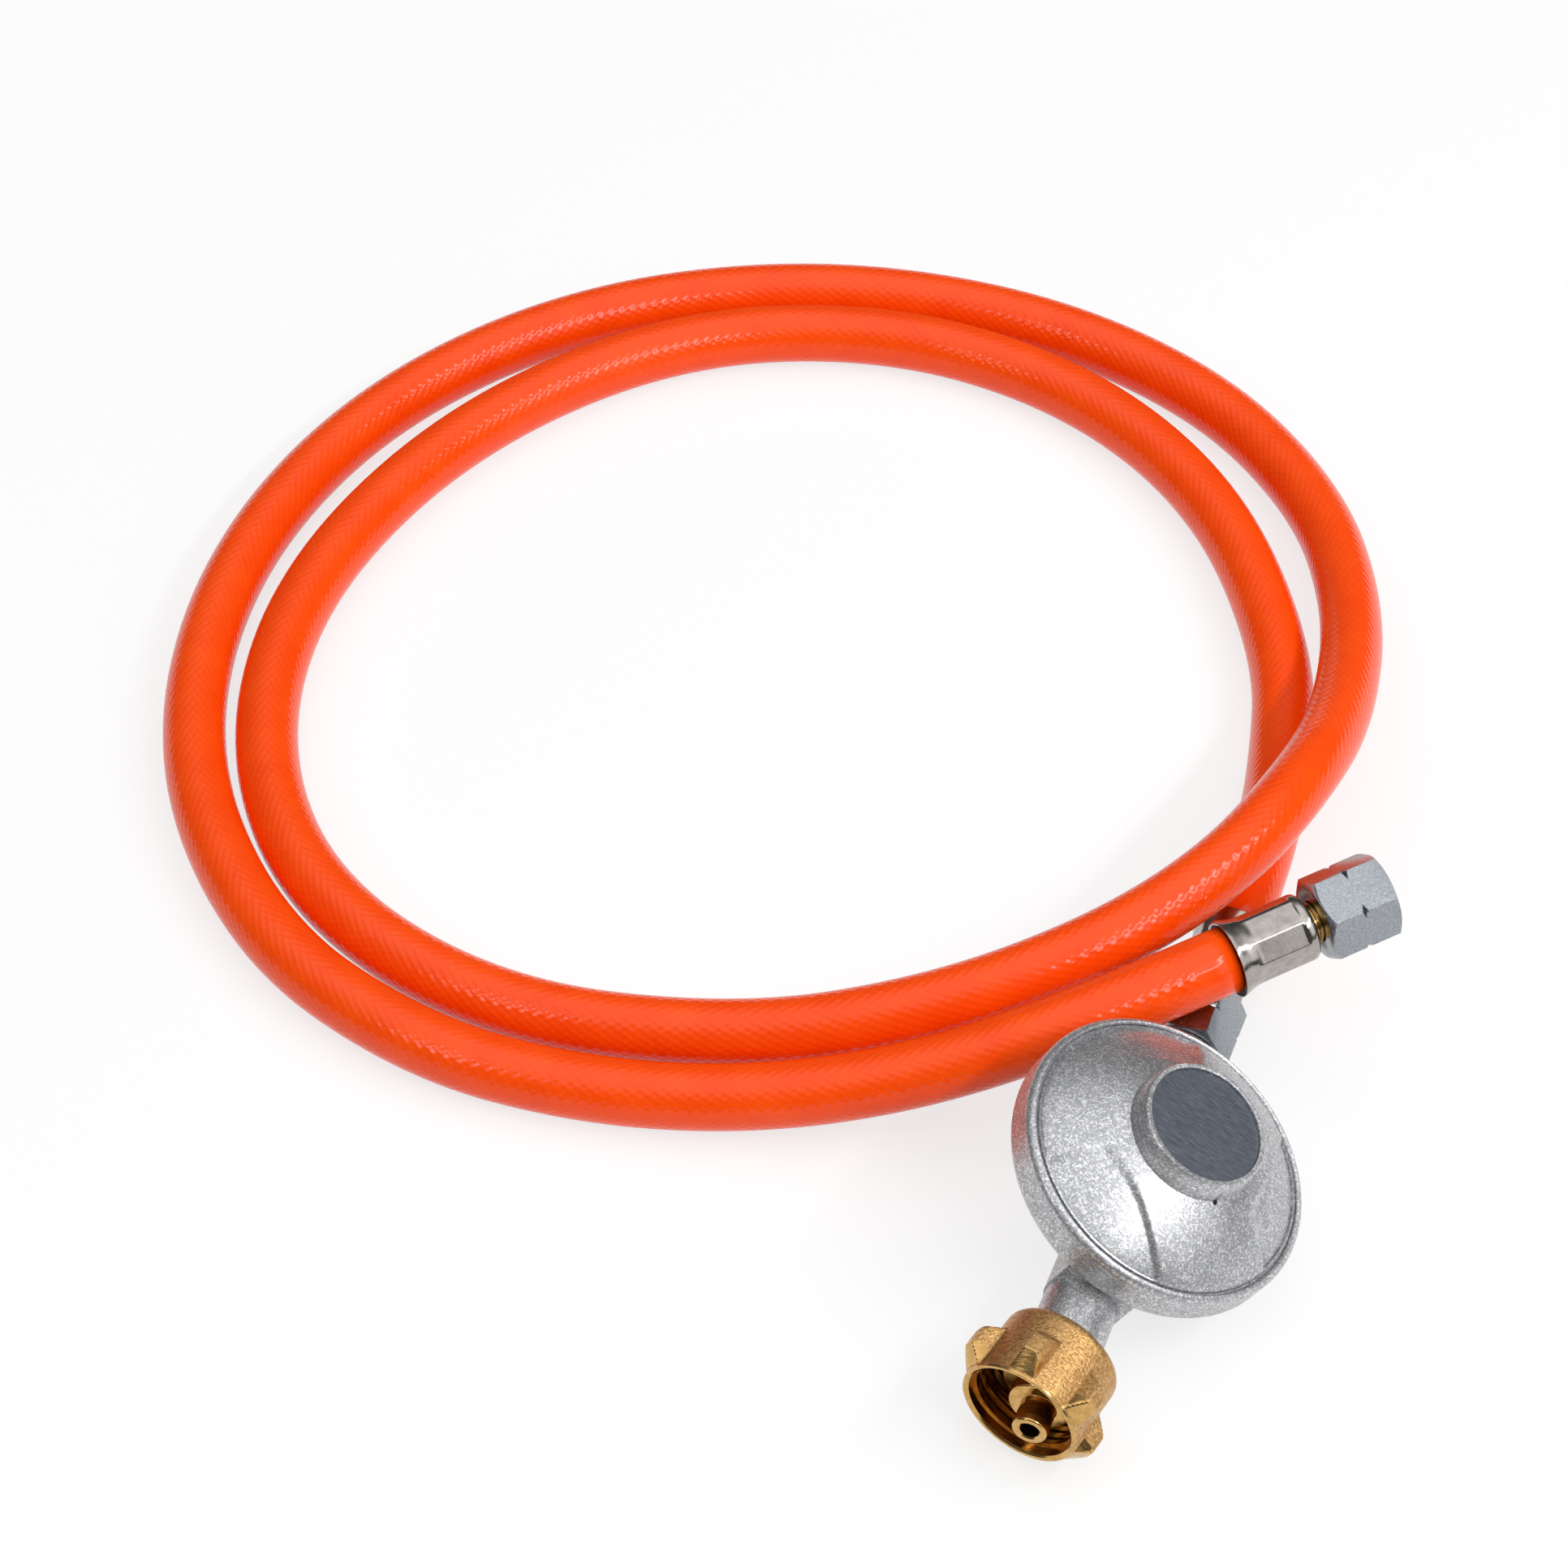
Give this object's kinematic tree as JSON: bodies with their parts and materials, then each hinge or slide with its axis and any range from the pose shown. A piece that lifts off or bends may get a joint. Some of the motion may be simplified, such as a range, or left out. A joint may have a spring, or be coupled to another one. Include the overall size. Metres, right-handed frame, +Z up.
{
  "type": "propane regulator hose",
  "caption": "Low pressure gas regulator with a left-hand wing nut at the inlet and a coiled orange hose with a loose hexagon nut on its free end.",
  "frame": {"origin": "on the floor, under the middle of the regulator's box without the hose and its fittings", "axes": "+Y from the inlet to the outlet, +Z up, +X to the right seen from the inlet"},
  "size_m": [0.2836, 0.3228, 0.0476],
  "materials": {
    "silver_paint": "silver paint with a fine sparkle",
    "dark_foil": "dark brushed foil",
    "spring_steel": "drawn spring wire",
    "pin_steel": "ground steel",
    "pressed_steel": "zinc plated pressing",
    "zinc_plate": "bright blue zinc plate",
    "nickel": "nickel plate",
    "brass": "machined brass",
    "forged_brass": "forged, blasted brass with a machined mouth",
    "sintered_bronze": "sintered bronze",
    "diaphragm_rubber": "black nitrile rubber",
    "orange_rubber": "glossy orange hose cover over a textile braid",
    "white_plastic": "turned acetal",
    "black_plastic": "moulded black plastic"
  },
  "bodies": {
    "body": {"lower_body": "silver_paint", "upper_cover": "silver_paint", "label_disc": "dark_foil", "main_spring": "spring_steel", "diaphragm": "diaphragm_rubber", "lever_pin": "pin_steel", "valve_seat": "brass", "inlet_nozzle": "brass", "inlet_filter": "sintered_bronze", "regulator_end_stem": "brass", "regulator_end_ferrule": "nickel", "hose": "orange_rubber", "free_end_ferrule": "nickel", "free_end_stem": "brass"},
    "wing_nut": {"wing_nut": "forged_brass"},
    "regulator_end_nut": {"regulator_end_nut": "zinc_plate"},
    "free_end_nut": {"free_end_nut": "zinc_plate"},
    "diaphragm_centre": {"diaphragm_plate": "pressed_steel", "diaphragm_stud": "pin_steel", "stud_nut": "pin_steel"},
    "lever": {"valve_lever": "pressed_steel"},
    "valve": {"valve_plunger": "white_plastic", "valve_pad": "diaphragm_rubber"},
    "adjusting_screw": {"adjusting_screw": "black_plastic"}
  },
  "joints": [
    {"name": "wing_nut_spin", "type": "hinge", "parent": "body", "child": "wing_nut", "pos_m": [-0.00881, -0.0498, 0.0152], "axis": [-0.224, -0.9742, -0.0262], "continuous": true},
    {"name": "outlet_nut_spin", "type": "hinge", "parent": "body", "child": "regulator_end_nut", "pos_m": [-0.00571, 0.0519, 0.0152], "axis": [0, 1, 0], "continuous": true},
    {"name": "free_nut_spin", "type": "hinge", "parent": "body", "child": "free_end_nut", "pos_m": [0.02322, 0.08068, 0.03695], "axis": [0.7051, 0.698, 0.1246], "continuous": true},
    {"name": "diaphragm_travel", "type": "slide", "parent": "body", "child": "diaphragm_centre", "axis": [0.4761, 0, 0.8794], "range_m": [-0.0012, 0.0012], "stiffness_N_per_m": 800, "deforming": ["main_spring", "diaphragm"]},
    {"name": "lever_swing", "type": "hinge", "parent": "body", "child": "lever", "pos_m": [-0.00181, 0.0209, 0.02241], "axis": [-0.8794, 0, 0.4761], "range_deg": [-5, 5]},
    {"name": "plunger_slide", "type": "slide", "parent": "body", "child": "valve", "axis": [0, -1, 0], "range_m": [-0.00075, 0.00075]},
    {"name": "adjuster_turn", "type": "hinge", "parent": "body", "child": "adjusting_screw", "pos_m": [0.00667, 0.0069, 0.03806], "axis": [0.4761, 0, 0.8794], "range_deg": [-180, 180]}
  ],
  "couplings": [
    {"joint": "lever_swing", "follows": "diaphragm_travel", "rad_per_m": 71.429},
    {"joint": "plunger_slide", "follows": "diaphragm_travel", "ratio": 0.58571}
  ]
}
